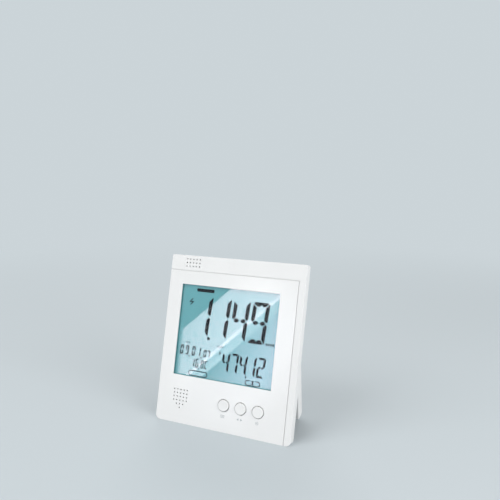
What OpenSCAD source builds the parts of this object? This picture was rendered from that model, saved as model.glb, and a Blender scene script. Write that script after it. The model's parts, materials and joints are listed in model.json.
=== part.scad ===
// Desktop energy monitor: a thin leaning display case on a fold-out stand.
// All pieces are drawn upright first, with the front face in the plane y = 0, x = 0 on the middle of the case
// and z = 0 at the lower front edge. The whole case then leans back, and its base is cut level.

/* [Case] */
// Depth of the front shell's side walls
side_depth = 6; // [5.5:0.1:8]
// Wall of the front shell
wall = 2; // [1.6:0.1:2.4]
// Radius of the two upper corners
top_corner_r = 1.5; // [0.5:0.1:3]
// Radius of the two lower corners
bottom_corner_r = 3.5; // [1.5:0.1:4.5]
// Backward lean of the case on its stand, in degrees
lean = 15; // [13:0.5:17]

/* [Front panel] */
// Thickness of the front panel plate
panel_t = 2; // [1.6:0.1:2.6]
// Width of the L-shaped seam beside the panel
seam = 0.6; // [0.4:0.1:0.9]
// Height of the shell's band above the seam
top_band = 11.5; // [10:0.1:14]
// Width of the shell's strip to the right of the seam
right_strip = 4.7; // [4:0.1:6]
// Width of the panel to the right of the visible display
panel_beside = 12.9; // [10:0.1:18]
// Height of the panel above the visible display
panel_above = 10.3; // [8:0.1:16]
// Height of the panel below the visible display
panel_below = 36.5; // [33:0.1:42]

/* [Display] */
// Width of the visible display
view_w = 80.6; // [70:0.2:92]
// Height of the visible display
view_h = 70.1; // [62:0.1:80]
// How far the clear window reaches behind the panel on each side
window_lap = 1.5; // [1:0.1:2]
// Thickness of the clear window
window_t = 1; // [0.8:0.1:1.2]
// Space between the window and the display
lcd_gap = 0.2; // [0.15:0.05:0.4]
// Thickness of the front polariser
polariser_t = 0.2; // [0.15:0.05:0.3]
// How far the polariser reaches past the visible display
polariser_lap = 1; // [0.6:0.1:1.4]
// Thickness of each display glass
glass_t = 0.8; // [0.6:0.1:1]
// Thickness of the reflector foil
reflector_t = 0.25; // [0.2:0.05:0.4]
// How far the rear glass reaches past the visible display
glass_lap = 1.2; // [1:0.1:1.6]
// Thickness of a rubber contact strip, up the face
strip_t = 2; // [1.5:0.1:2.2]
// Width of the holder's ledge that carries the front glass
holder_ledge = 1.2; // [0.8:0.1:1.4]
// Width of the holder's rim outside the front glass
holder_rim = 1.6; // [1.2:0.1:1.8]
// Clearance between the holder and the rear shell's rim
holder_gap = 0.2; // [0.1:0.05:0.6]
// Play around a contact strip
strip_play = 0.4; // [0.2:0.05:0.5]
// Play around the front glass, over its whole width
glass_play = 0.3; // [0.2:0.05:0.5]

/* [Buttons] */
// Radius of a button cap
button_r = 4.25; // [3.8:0.05:4.6]
// Gap of the ring around a cap
ring_gap = 0.45; // [0.3:0.05:0.6]
// How far a cap stands out of the panel
button_proud = 1; // [0.6:0.1:1.6]
// Right button to the right edge of the panel
button_right = 21; // [19.5:0.1:22]
// Distance between buttons
button_pitch = 13.7; // [13:0.1:14.4]
// Height of the button row above the lower edge
button_z = 19.7; // [18.5:0.1:20.5]
// Width of the cap's flange behind the panel
flange_w = 1.05; // [0.8:0.05:1.2]
// Thickness of the cap's flange
flange_t = 0.8; // [0.6:0.1:1]
// Gap between the flange and the panel
flange_gap = 0.3; // [0.2:0.05:0.4]
// Radius of the cap's stem
stem_r = 1.6; // [1.5:0.05:1.8]
// Length of the cap's stem behind the flange
stem_l = 0.5; // [0.4:0.1:0.8]
// Width of a square switch
switch_w = 6; // [5.5:0.1:6.5]
// Height of a switch above the board
switch_h = 2; // [1.8:0.1:2.4]
// Radius of a switch plunger
plunger_r = 1.4; // [1.2:0.05:1.45]
// How far a plunger stands out of its switch
plunger_out = 0.8; // [0.7:0.1:1]
// Length of a plunger inside its switch
plunger_in = 1.1; // [0.9:0.1:1.2]
// Running clearance around a plunger
plunger_clear = 0.06; // [0.03:0.01:0.1]
// Travel of a button
button_travel = 0.35; // [0.25:0.05:0.4]
// Space around a cap's flange in the web behind the panel
well_gap = 0.7; // [0.5:0.05:0.8]

/* [Holes in the front] */
// Distance between small holes
hole_pitch = 2.75; // [2.5:0.05:2.8]
// Radius of a small hole
hole_r = 0.55; // [0.4:0.05:0.65]
// Left edge of the case to the first column of the upper holes
vent_left = 13.3; // [12.9:0.1:14.5]
// Upper edge of the case to the first row of the upper holes
vent_top = 2.9; // [2.8:0.1:3.2]
// Left edge of the case to the first column of the lower holes
speaker_left = 14; // [13.5:0.1:15]
// Lower edge of the case to the first row of the lower holes
speaker_top = 25.4; // [24.8:0.1:26]

/* [Board] */
// Thickness of the main board
board_t = 1.6; // [1.2:0.1:2]
// Clearance between the board and the walls around it
board_gap = 0.7; // [0.5:0.1:0.9]
// Radius of the sounder
buzzer_r = 7; // [6:0.1:7.2]
// Height of the sounder above the board
buzzer_h = 2.4; // [2.2:0.1:2.8]
// Wall of the sounder's case
buzzer_wall = 0.7; // [0.5:0.1:0.9]
// Radius of the sounder's opening
buzzer_hole_r = 1.4; // [1:0.1:2]
// Thickness of the sounder's disc
disc_t = 0.4; // [0.3:0.05:0.5]
// Radius of the temperature sensor
sensor_r = 1.3; // [1:0.1:1.4]
// Height of the temperature sensor above the board
sensor_h = 2.6; // [2.2:0.1:2.8]
// Radius of the chip's resin blob
chip_r = 7; // [5:0.5:9]
// Height of the chip's resin blob
chip_h = 1.1; // [0.8:0.1:1.2]
// Thickness of the receiver board
receiver_t = 1; // [0.8:0.1:1.2]
// Length of the receiver board, up the face
receiver_l = 27; // [24:1:30]
// Height of the receiver board above the main board
receiver_h = 10; // [8:0.5:10.5]
// Space between the battery bay and the receiver board
receiver_gap = 5; // [4:0.1:6]
// Thickness of the receiver's crystal can
can_t = 2.2; // [1.8:0.1:2.6]
// Height of the crystal can, up the face
can_h = 8; // [6:0.5:11]
// Depth of the crystal can
can_d = 4.4; // [3.6:0.1:5]
// Radius of the antenna wire
antenna_r = 0.5; // [0.4:0.05:0.6]
// Level run from the receiver board to the antenna's bend
antenna_bend = 4; // [3:0.1:6]
// Height of the antenna's long level run above the lower edge
antenna_z = 29; // [26:0.5:34]
// Length of the antenna's long level run
antenna_l = 56; // [40:1:66]

/* [Screws] */
// Radius of a case screw
case_screw_r = 1.2; // [1:0.05:1.3]
// Radius of a case screw's head
case_head_r = 2.1; // [1.9:0.1:2.4]
// Height of a case screw's head
case_head_h = 1.3; // [1.1:0.1:1.5]
// Radius of a board screw
board_screw_r = 1; // [0.8:0.05:1.1]
// Radius of a board screw's head
board_head_r = 1.9; // [1.7:0.1:2]
// Height of a board screw's head
board_head_h = 1.2; // [1:0.1:1.4]
// Wall of a screw boss
boss_wall = 1.3; // [1.1:0.1:1.5]
// Clearance around a screw or a bonded sheet
fit_clear = 0.06; // [0.03:0.01:0.1]
// Space behind a board screw's head
head_room = 0.5; // [0.4:0.1:0.8]
// Space between a boss and the pieces beside it
boss_gap = 1; // [0.6:0.1:1.4]

/* [Rear shell] */
// Wall of the rear shell
rear_wall = 1.8; // [1.5:0.1:2.1]
// How far the rear shell is set in from the case's sides and top
rear_inset = 4.8; // [4.4:0.1:5.6]
// Clearance between the two shells
shell_gap = 0.15; // [0.1:0.05:0.3]
// Space between the antenna and the battery hump's side
hump_room = 2.2; // [1.4:0.1:3]

/* [Batteries] */
// Radius of a cell
cell_r = 5.25; // [5.1:0.05:5.4]
// Length of a cell with its nub
cell_l = 44.5; // [43.5:0.1:45.5]
// Radius of a cell's nub
nub_r = 1.9; // [1.5:0.1:2.2]
// Length of a cell's nub
nub_l = 0.8; // [0.6:0.1:1]
// Clearance around a cell
cell_gap = 0.3; // [0.2:0.05:0.4]
// Length of a contact spring
spring_l = 4; // [3.5:0.1:4.5]
// Radius of a contact spring at its plate
spring_base_r = 3.9; // [3.5:0.1:4.2]
// Radius of a contact spring at its cell
spring_tip_r = 2.4; // [2:0.1:2.8]
// Thickness of a contact plate
plate_t = 0.5; // [0.4:0.1:0.6]
// Side of a square contact plate
plate_w = 8.6; // [8:0.1:9]
// Wall of the battery bay
bay_wall = 1.2; // [1:0.1:1.4]
// Space between the board and the battery bay
bay_clear = 0.6; // [0.4:0.1:0.8]
// Thickness of the battery door
door_t = 1.6; // [1.4:0.1:2]
// How far the door laps over the bay's rim
door_lap = 1.6; // [1.4:0.1:2]
// Thickness of the ledge under the door's edge
ledge_t = 1.6; // [1.2:0.1:2]
// Clearance around the door
door_gap = 0.3; // [0.2:0.05:0.4]
// Width of the door's latch tongue
latch_w = 12; // [10:1:16]
// Length of the door's latch tongue
latch_l = 9; // [7:0.5:12]
// Width of the slots beside the latch tongue
latch_cut = 1; // [0.8:0.1:1.4]

/* [Stand] */
// Width of the stand
stand_w = 97; // [94:0.5:98]
// Wall of the stand
stand_wall = 1.8; // [1.5:0.1:2]
// Depth of the stand's side flanges
flange_depth = 9; // [7.5:0.1:9.5]
// Radius of the stand's lower rear corner
foot_r = 3.5; // [2.5:0.1:4.5]
// Opening angle of the stand, in degrees
stand_open = 22.5; // [20:0.5:25]
// Clearance between the stand and the shell
stand_gap = 0.4; // [0.35:0.05:0.6]
// Radius of a hinge pin
pin_r = 1.6; // [1.3:0.05:1.7]
// Running clearance around a hinge pin
pin_clear = 0.06; // [0.03:0.01:0.1]
// Thickness of a hinge ear
ear_t = 3.2; // [2.6:0.1:4]
// How far a hinge pin reaches past its ear
pin_end = 0.2; // [0.1:0.05:0.5]
// Clearance between the stand's round top and the battery hump
hinge_gap = 0.6; // [0.4:0.05:0.8]

/* [Hidden] */
$fn = 48;

// A cut runs this far past the faces that it goes through
past = 1;

// Layers behind the front face, from front to back
web_t = lcd_gap + polariser_t + glass_t;
web_y = panel_t + web_t;
flange_y = panel_t + flange_gap;
tip_y = flange_y + flange_t + stem_l;
switch_y = tip_y + plunger_out;
board_y = switch_y + switch_h;
board_back = board_y + board_t;
back_room = board_head_h + head_room;
step_y = board_back + back_room + rear_wall;
bay_front = board_back + bay_clear;
bay_y = bay_front + bay_wall;
cell_y = bay_y + cell_gap + cell_r;
door_y = cell_y + cell_r + cell_gap;
hump_y = door_y + door_t;

// Display pieces, each sized from the one in front of it
rear_glass_w = view_w + 2 * glass_lap;
rear_glass_h = view_h + 2 * glass_lap;
holder_in_h = rear_glass_h + 2 * (strip_t + 2 * strip_play);
holder_in_w = rear_glass_w + 2 * strip_play;
front_glass_w = holder_in_w + 2 * holder_ledge;
front_glass_h = holder_in_h + 2 * holder_ledge;
holder_w = front_glass_w + 2 * holder_rim;
holder_h = front_glass_h + 2 * holder_rim;
strip_z = rear_glass_h / 2 + strip_play + strip_t / 2;

// Case, panel and display edges: the holder stands just inside the rear shell's rim on the left
view_left = rear_inset + rear_wall + holder_gap + (holder_w - view_w) / 2;
case_w = view_left + view_w + panel_beside + seam + right_strip;
case_h = panel_below + view_h + panel_above + seam + top_band;
left_x = -case_w / 2;
right_x = case_w / 2;
panel_right = right_x - right_strip - seam;
panel_top = case_h - top_band - seam;
floor_z = wall + side_depth * tan(lean);
view_x = left_x + view_left + view_w / 2;
view_z = panel_below + view_h / 2;
holder_top = view_z + holder_h / 2;

// Rear shell edges
step_half = case_w / 2 - rear_inset;
step_top = case_h - rear_inset;
step_low = floor_z + shell_gap + rear_inset - wall;
board_half = step_half - rear_wall - board_gap;
board_low = step_low + rear_wall + board_gap;
board_top = step_top - rear_wall - board_gap;

// Battery bay and its door
bay_l = cell_l + spring_l + 2 * plate_t;
cell_pitch = 2 * cell_r + cell_gap;
bay_h = 2 * cell_pitch + 2 * cell_r + 2 * cell_gap;
door_w = bay_l + 2 * bay_wall + 2 * door_lap;
door_h = bay_h + 2 * bay_wall + 2 * door_lap;
pocket_w = door_w + 2 * door_gap;
pocket_h = door_h + 2 * door_gap;
hump_h = pocket_h + 2 * rear_wall;
hump_low = step_top - hump_h;
bay_z = step_top - hump_h / 2;

// Receiver beside the battery bay, with the hump's side just outside the antenna
receiver_x = bay_l / 2 + bay_wall + receiver_gap;
receiver_low = bay_z - receiver_l / 2;
antenna_y = board_back + back_room / 2;
antenna_x = receiver_x + receiver_t + antenna_bend;
hump_half_w = antenna_x + hump_room + rear_wall;

// Stand and hinge
barrel_r = (hump_y - step_y - stand_gap) / 2;
hinge_y = hump_y - barrel_r;
hinge_z = hump_low - hinge_gap - barrel_r;
ear_r = barrel_r - stand_wall - stand_gap;
ear_out = stand_w / 2 - stand_wall - stand_gap;
pin_l = stand_gap + ear_t + pin_end;
stand_tilt = stand_open - lean;
hinge_back = hinge_y * cos(lean) + hinge_z * sin(lean);
hinge_up = hinge_z * cos(lean) - hinge_y * sin(lean);

// The case stands with its origin under the middle of its depth
hump_back = hump_y * cos(lean) + step_top * sin(lean);
stand_back = hinge_back + barrel_r * cos(stand_tilt) + hinge_up * tan(stand_tilt);
middle_y = max(hump_back, stand_back) / 2;

// Holes in the front, each group drawn from its upper left hole
vent_columns = 5;
vent_rows = 3;
vent_x = left_x + vent_left;
vent_z = case_h - vent_top;
speaker_counts = [5, 5, 5, 5, 3, 1];
speaker_columns = 5;
speaker_x = left_x + speaker_left;
buzzer_x = speaker_x + hole_pitch * (speaker_columns - 1) / 2;
buzzer_z = speaker_top - hole_pitch * (len(speaker_counts) - 1) / 2;
sensor_edge = 0.4;
sensor_x = vent_x + hole_pitch * (vent_columns - 1) / 2;
sensor_z = board_top - sensor_r - sensor_edge;

// Screw places: case bosses near the corners, board bosses clear of the display, the bay and the sounder
pad_bite = 0.3;
case_boss_r = case_screw_r + boss_wall;
case_pad_r = case_head_r + boss_wall;
case_boss_x = step_half - rear_wall - case_pad_r + pad_bite;
upper_boss_z = holder_top + case_boss_r + boss_gap;
lower_boss_z = step_low + rear_wall + case_pad_r - pad_bite;
board_boss_r = board_screw_r + boss_wall;
board_boss_x = bay_l / 2 + bay_wall + board_head_r + boss_gap;
board_boss_z = holder_top + board_boss_r + boss_gap;
case_places = [
  [-case_boss_x, lower_boss_z], [case_boss_x, lower_boss_z],
  [-case_boss_x, upper_boss_z], [case_boss_x, upper_boss_z]
];
board_places = [
  [buzzer_x + buzzer_r + board_boss_r, lower_boss_z],
  [board_half - 2 * board_boss_r, button_z + 2 * board_boss_r],
  [-board_boss_x, board_boss_z], [board_boss_x, board_boss_z]
];

button_xs = [for (i = [-2:0]) panel_right - button_right + i * button_pitch];
flange_r = button_r + flange_w;
button_well_r = flange_r + well_gap;

// Leans the upright drawing back and sets it over the origin
module leaned() {
  translate([0, -middle_y, 0]) rotate([-lean, 0, 0]) children();
}

// The same, with everything below the table cut away
module stood() {
  span = 3 * case_h;
  difference() {
    leaned() children();
    translate([-span / 2, -span / 2, -span]) cube([span, span, span]);
  }
}

// Extrudes an outline, drawn as x and z, from one depth to another
module slab(from, to) {
  translate([0, to, 0]) rotate([90, 0, 0]) linear_extrude(to - from) children();
}

// A bar along the depth at a place on the face
module bar(r, x, z, from, to) {
  translate([x, to, z]) rotate([90, 0, 0]) cylinder(r = r, h = to - from);
}

// A box between two depths, centred on a place on the face
module block(w, h, x, z, from, to) {
  translate([x - w / 2, from, z - h / 2]) cube([w, to - from, h]);
}

// Rounded outline with one radius above and another below
module outline(x0, x1, z0, z1, low_r, high_r) {
  translate([x0 + low_r, z0]) square([x1 - x0 - 2 * low_r, z1 - z0 - high_r]);
  translate([x0 + high_r, z0 + low_r]) square([x1 - x0 - 2 * high_r, z1 - z0 - low_r]);
  translate([x0, z0 + low_r]) square([x1 - x0, z1 - z0 - low_r - high_r]);
  for (x = [x0 + low_r, x1 - low_r]) translate([x, z0 + low_r]) circle(low_r);
  for (x = [x0 + high_r, x1 - high_r]) translate([x, z1 - high_r]) circle(high_r);
}

module case_outline() {
  outline(left_x, right_x, 0, case_h, bottom_corner_r, top_corner_r);
}

module vent_holes(from, to) {
  for (i = [0:vent_columns - 1], j = [0:vent_rows - 1])
    bar(hole_r, vent_x + i * hole_pitch, vent_z - j * hole_pitch, from, to);
}

module speaker_holes(from, to) {
  for (j = [0:len(speaker_counts) - 1]) {
    skip = (speaker_columns - speaker_counts[j]) / 2;
    for (i = [0:speaker_counts[j] - 1])
      bar(hole_r, speaker_x + (i + skip) * hole_pitch, speaker_top - j * hole_pitch, from, to);
  }
}

// Front shell: the rim, the band above the seam, the strip beside it and a web behind the panel
module front_shell() {
  color("white") stood() difference() {
    union() {
      difference() {
        slab(0, side_depth) case_outline();
        slab(-past, panel_t) translate([left_x - past, -past])
          square([panel_right + seam - left_x + past, panel_top + seam + past]);
        slab(web_y, side_depth + past) translate([left_x + wall, floor_z])
          square([case_w - 2 * wall, case_h - wall - floor_z]);
      }
      for (p = case_places) bar(case_boss_r, p[0], p[1], web_y - web_t / 2, board_back);
      for (p = board_places) bar(board_boss_r, p[0], p[1], web_y - web_t / 2, board_y);
    }
    block(front_glass_w + glass_play, front_glass_h + glass_play, view_x, view_z, 0, web_y + past);
    for (x = button_xs) bar(button_well_r, x, button_z, 0, web_y + past);
    speaker_holes(0, web_y + past);
    vent_holes(-past, web_y + past);
    for (p = case_places) bar(case_screw_r + fit_clear, p[0], p[1], web_y, board_back + past);
    for (p = board_places) bar(board_screw_r + fit_clear, p[0], p[1], web_y, board_y + past);
  }
}

// Front panel: a gloss plate seated in the shell's L-shaped step
module front_panel() {
  color("whitesmoke") stood() difference() {
    slab(0, panel_t) intersection() {
      case_outline();
      translate([left_x, 0]) square([panel_right - left_x, panel_top]);
    }
    block(view_w, view_h, view_x, view_z, -past, panel_t + past);
    block(view_w + 2 * window_lap, view_h + 2 * window_lap, view_x, view_z,
      panel_t - window_t, panel_t + past);
    for (x = button_xs) bar(button_r + ring_gap, x, button_z, -past, panel_t + past);
    speaker_holes(-past, panel_t + past);
  }
}

// Display window: clear sheet bonded in the rebate behind the panel's opening
module display_window() {
  lap = window_lap - fit_clear;
  color("lightcyan", 0.4) leaned()
    block(view_w + 2 * lap, view_h + 2 * lap, view_x, view_z, panel_t - window_t, panel_t);
}

// The display: polariser, two glasses and a reflector, stacked
module lcd_polariser() {
  front = web_y - glass_t - polariser_t;
  color("paleturquoise") leaned()
    block(view_w + 2 * polariser_lap, view_h + 2 * polariser_lap, view_x, view_z,
      front, front + polariser_t);
}

module lcd_front_glass() {
  color("powderblue") leaned()
    block(front_glass_w, front_glass_h, view_x, view_z, web_y - glass_t, web_y);
}

module lcd_rear_glass() {
  color("lightblue") leaned()
    block(rear_glass_w, rear_glass_h, view_x, view_z, web_y, web_y + glass_t);
}

module lcd_reflector() {
  front = web_y + glass_t;
  color("silver") leaned()
    block(rear_glass_w, rear_glass_h, view_x, view_z, front, front + reflector_t);
}

// Holder: frame that clamps the display to the web and guides the contact strips
module lcd_holder() {
  color("gainsboro") leaned() difference() {
    block(holder_w, holder_h, view_x, view_z, web_y, board_y);
    block(holder_in_w, holder_in_h, view_x, view_z, web_y - past, board_y + past);
  }
}

module contact_strip(side) {
  color("dimgray") leaned()
    block(rear_glass_w, strip_t, view_x, view_z + side * strip_z, web_y, board_y);
}

module upper_contact_strip() {
  contact_strip(1);
}

module lower_contact_strip() {
  contact_strip(-1);
}

// Main board with its corners cut away around the case bosses
module main_board() {
  color("seagreen") leaned() difference() {
    translate([-board_half, board_y, board_low]) cube([2 * board_half, board_t, board_top - board_low]);
    for (p = case_places) board_corner(p[0], p[1]);
    for (p = board_places) bar(board_screw_r + fit_clear, p[0], p[1], board_y - past, board_back + past);
  }
}

// Corner of the board that is cut away around a case boss
module board_corner(x, z) {
  clear_r = case_boss_r + board_gap / 2;
  reach = board_half + past;
  x0 = x > 0 ? x - clear_r : -reach;
  z0 = z > view_z ? z - clear_r : board_low - past;
  z1 = z > view_z ? board_top + past : z + clear_r;
  translate([x0, board_y - past, z0]) cube([reach - abs(x) + clear_r, board_t + 2 * past, z1 - z0]);
}

// Resin blob over the controller, on the back of the board
module controller_chip() {
  blob_r = (chip_r * chip_r + chip_h * chip_h) / (2 * chip_h);
  color("black") leaned() translate([view_x, board_back, view_z - view_h / 4]) rotate([-90, 0, 0])
    rotate_extrude() intersection() {
      translate([0, chip_h - blob_r]) circle(blob_r, $fn = 480);
      square([chip_r, chip_h]);
    }
}

// Radio receiver: a small board on edge beside the battery bay, its crystal and its antenna
module receiver_board() {
  color("darkgreen") leaned() translate([receiver_x, board_back, receiver_low])
    cube([receiver_t, receiver_h, receiver_l]);
}

module receiver_crystal() {
  can_lift = 2;
  color("silver") leaned()
    translate([receiver_x + receiver_t, board_back + can_lift, receiver_low + (receiver_l - can_h) / 2])
    cube([can_t, can_d, can_h]);
}

module antenna_wire() {
  top_z = receiver_low + 3 * antenna_r;
  color("firebrick") leaned() {
    translate([antenna_x - antenna_bend, antenna_y, top_z]) rotate([0, 90, 0])
      cylinder(r = antenna_r, h = antenna_bend);
    translate([antenna_x, antenna_y, antenna_z]) cylinder(r = antenna_r, h = top_z - antenna_z);
    translate([antenna_x - antenna_l, antenna_y, antenna_z]) rotate([0, 90, 0])
      cylinder(r = antenna_r, h = antenna_l);
    for (z = [top_z, antenna_z]) translate([antenna_x, antenna_y, z]) sphere(antenna_r);
  }
}

// Sounder behind the lower holes: a case on the board with a thin disc inside
module buzzer_case() {
  front = board_y - buzzer_h;
  color("black") leaned() difference() {
    bar(buzzer_r, buzzer_x, buzzer_z, front, board_y);
    bar(buzzer_r - 2 * buzzer_wall, buzzer_x, buzzer_z, front + buzzer_wall, board_y + past);
    bar(buzzer_r - buzzer_wall, buzzer_x, buzzer_z, board_y - 2 * disc_t, board_y + past);
    bar(buzzer_hole_r, buzzer_x, buzzer_z, front - past, board_y);
  }
}

module buzzer_disc() {
  color("goldenrod") leaned()
    bar(buzzer_r - buzzer_wall - fit_clear, buzzer_x, buzzer_z, board_y - 2 * disc_t, board_y - disc_t);
}

// Temperature sensor behind the upper holes
module temperature_sensor() {
  tip = board_y - sensor_h + sensor_r;
  color("black") leaned() {
    bar(sensor_r, sensor_x, sensor_z, tip, board_y);
    translate([sensor_x, tip, sensor_z]) sphere(sensor_r);
  }
}

// Button cap with its flange and stem
module button(x) {
  color("white") leaned() {
    bar(button_r, x, button_z, -button_proud, flange_y + flange_t / 2);
    bar(flange_r, x, button_z, flange_y, flange_y + flange_t);
    bar(stem_r, x, button_z, flange_y, tip_y);
  }
}

module left_button() {
  button(button_xs[0]);
}

module middle_button() {
  button(button_xs[1]);
}

module right_button() {
  button(button_xs[2]);
}

module plunger(x) {
  color("black") leaned() bar(plunger_r, x, button_z, tip_y, switch_y + plunger_in);
}

module left_plunger() {
  plunger(button_xs[0]);
}

module middle_plunger() {
  plunger(button_xs[1]);
}

module right_plunger() {
  plunger(button_xs[2]);
}

// Switch with a blind well that lets the plunger travel
module switch(x) {
  spare = 0.15;
  well_end = switch_y + plunger_in + button_travel + spare;
  color("dimgray") leaned() difference() {
    block(switch_w, switch_w, x, button_z, switch_y, board_y);
    bar(plunger_r + plunger_clear, x, button_z, switch_y - past, well_end);
  }
}

module left_switch() {
  switch(button_xs[0]);
}

module middle_switch() {
  switch(button_xs[1]);
}

module right_switch() {
  switch(button_xs[2]);
}

// One hinge ear, from the rear shell's lower wall to the hinge axis
module ear(side) {
  outer = side > 0 ? ear_out : -ear_out + ear_t;
  translate([outer - ear_t, 0, 0]) rotate([90, 0, 90]) linear_extrude(ear_t) {
    translate([hinge_y, hinge_z]) circle(ear_r);
    translate([step_y - rear_wall / 2, hinge_z - ear_r])
      square([hinge_y - step_y + rear_wall / 2, 2 * ear_r]);
  }
}

// Rear shell: a rim inside the front shell, a shallow step, the battery hump with its bay, and the hinge ears
module rear_shell() {
  rim_x = case_w / 2 - wall - shell_gap;
  rim_low = floor_z + shell_gap;
  rim_top = case_h - wall - shell_gap;
  hump_in = hump_half_w - rear_wall;
  color("white") leaned() difference() {
    union() {
      difference() {
        union() {
          translate([-rim_x, side_depth - rear_wall, rim_low])
            cube([2 * rim_x, rear_wall, rim_top - rim_low]);
          slab(side_depth - rear_wall, step_y)
            outline(-step_half, step_half, step_low, step_top, bottom_corner_r, bottom_corner_r);
          slab(step_y - rear_wall, hump_y)
            outline(-hump_half_w, hump_half_w, hump_low, step_top, bottom_corner_r, bottom_corner_r);
        }
        slab(0, step_y - rear_wall) translate([rear_wall - step_half, step_low + rear_wall])
          square([2 * step_half - 2 * rear_wall, step_top - step_low - 2 * rear_wall]);
        slab(0, hump_y - rear_wall) translate([-hump_in, hump_low + rear_wall])
          square([2 * hump_in, hump_h - 2 * rear_wall]);
      }
      block(bay_l + 2 * bay_wall, bay_h + 2 * bay_wall, 0, bay_z, bay_front, door_y);
      block(pocket_w + 2 * bay_wall, hump_h - rear_wall, 0, bay_z,
        door_y - door_gap - ledge_t, hump_y - rear_wall / 2);
      for (p = case_places) bar(case_pad_r, p[0], p[1], board_back + board_gap / 2, step_y - rear_wall / 2);
      for (side = [-1, 1]) ear(side);
    }
    block(bay_l, bay_h, 0, bay_z, bay_y, hump_y + past);
    block(pocket_w, pocket_h, 0, bay_z, door_y - door_gap, hump_y + past);
    for (p = case_places) {
      bar(case_screw_r + 2 * fit_clear, p[0], p[1], board_back, step_y + past);
      bar(case_head_r + 2 * fit_clear, p[0], p[1], step_y - case_head_h - 2 * fit_clear, step_y + past);
    }
    for (side = [-1, 1]) translate([side * ear_out, hinge_y, hinge_z]) rotate([0, 90, 0])
      cylinder(r = pin_r + pin_clear, h = 2 * ear_t + 2 * past, center = true);
  }
}

// Battery door: a plate with a springy latch tongue cut into its upper edge and a ridge to press it by
module battery_door() {
  ridge_h = 0.4;
  color("white") leaned() difference() {
    union() {
      block(door_w, door_h, 0, bay_z, door_y, hump_y);
      block(latch_w / 2, ridge_h * 2, 0, bay_z + door_h / 2 - latch_l / 2,
        hump_y - ridge_h, hump_y + ridge_h);
    }
    for (side = [-1, 1])
      block(latch_cut, 2 * latch_l, side * latch_w / 2, bay_z + door_h / 2, door_y - past, hump_y + past);
  }
}

// One cell lying across the case, with its nub to the left or to the right
module cell(row, nub_side) {
  nub_end = nub_side * (bay_l / 2 - plate_t);
  z = bay_z + row * cell_pitch;
  color("steelblue") leaned() translate([nub_end, cell_y, z]) rotate([0, -90 * nub_side, 0]) {
    cylinder(r = nub_r, h = 2 * nub_l);
    translate([0, 0, nub_l]) cylinder(r = cell_r, h = cell_l - nub_l);
  }
}

module lower_cell() {
  cell(-1, -1);
}

module middle_cell() {
  cell(0, 1);
}

module upper_cell() {
  cell(1, -1);
}

// Contact springs at the cells' flat ends
module battery_springs() {
  color("silver") leaned() for (row = [-1:1]) {
    side = row == 0 ? -1 : 1;
    translate([side * (bay_l / 2 - plate_t), cell_y, bay_z + row * cell_pitch]) rotate([0, -90 * side, 0])
      cylinder(r1 = spring_base_r, r2 = spring_tip_r, h = spring_l);
  }
}

// Contact plates: at each end one joins two cells and one serves a single cell
module battery_plates() {
  pair_h = plate_w + cell_pitch;
  color("gainsboro") leaned() for (side = [-1, 1]) {
    x = side * (bay_l - plate_t) / 2;
    translate([x - plate_t / 2, cell_y - plate_w / 2, bay_z - side * cell_pitch / 2 - pair_h / 2])
      cube([plate_t, plate_w, pair_h]);
    translate([x - plate_t / 2, cell_y - plate_w / 2, bay_z + side * cell_pitch - plate_w / 2])
      cube([plate_t, plate_w, plate_w]);
  }
}

// Points of the open stand in side view: along runs down from the hinge, out runs to the rear
function stand_point(along, out) = [
  hinge_back + along * sin(stand_tilt) + out * cos(stand_tilt),
  hinge_up - along * cos(stand_tilt) + out * sin(stand_tilt)
];

// How far along the stand a line at that distance behind the hinge comes down to a height
function stand_reach(out, height) = (hinge_up + out * sin(stand_tilt) - height) / cos(stand_tilt);

// Side view of the stand, or of its hollow when inset is the wall
module stand_profile(inset, front) {
  back = barrel_r - inset;
  corner = stand_point(stand_reach(barrel_r - foot_r, foot_r), barrel_r - foot_r);
  r = foot_r - inset;
  polygon([
    stand_point(0, back), corner + r * [cos(stand_tilt), sin(stand_tilt)], corner - [0, r],
    stand_point(stand_reach(front, inset), front), stand_point(0, front)
  ]);
  translate(corner) circle(r);
  translate([hinge_back, hinge_up]) circle(back);
}

// Extrudes a side view across the case, centred
module across(w) {
  translate([-w / 2, 0, 0]) rotate([90, 0, 90]) linear_extrude(w) children();
}

// Stand: a tray with side flanges and an end wall, swung open, with hinge pins on the flanges
module stand() {
  front = barrel_r - flange_depth;
  inner_w = stand_w - 2 * stand_wall;
  lip = 1.2;
  color("white") translate([0, -middle_y, 0]) {
    difference() {
      across(stand_w) stand_profile(0, front);
      across(inner_w) {
        stand_profile(stand_wall, front - past);
        polygon([
          stand_point(-barrel_r - past, lip), stand_point(barrel_r, lip),
          stand_point(barrel_r, -barrel_r - past), stand_point(-barrel_r - past, -barrel_r - past)
        ]);
      }
    }
    for (side = [-1, 1]) translate([side * (inner_w - pin_l) / 2, hinge_back, hinge_up]) rotate([0, 90, 0])
      cylinder(r = pin_r, h = pin_l, center = true);
  }
}

// Screws that hold the two shells together, and screws that hold the board
module case_screws() {
  seat = step_y - case_head_h - fit_clear;
  color("silver") leaned() for (p = case_places) {
    bar(case_head_r, p[0], p[1], seat, seat + case_head_h);
    bar(case_screw_r, p[0], p[1], web_y + fit_clear, seat + case_head_h / 2);
  }
}

module board_screws() {
  color("silver") leaned() for (p = board_places) {
    bar(board_head_r, p[0], p[1], board_back, board_back + board_head_h);
    bar(board_screw_r, p[0], p[1], web_y + fit_clear, board_back + board_head_h / 2);
  }
}

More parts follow.
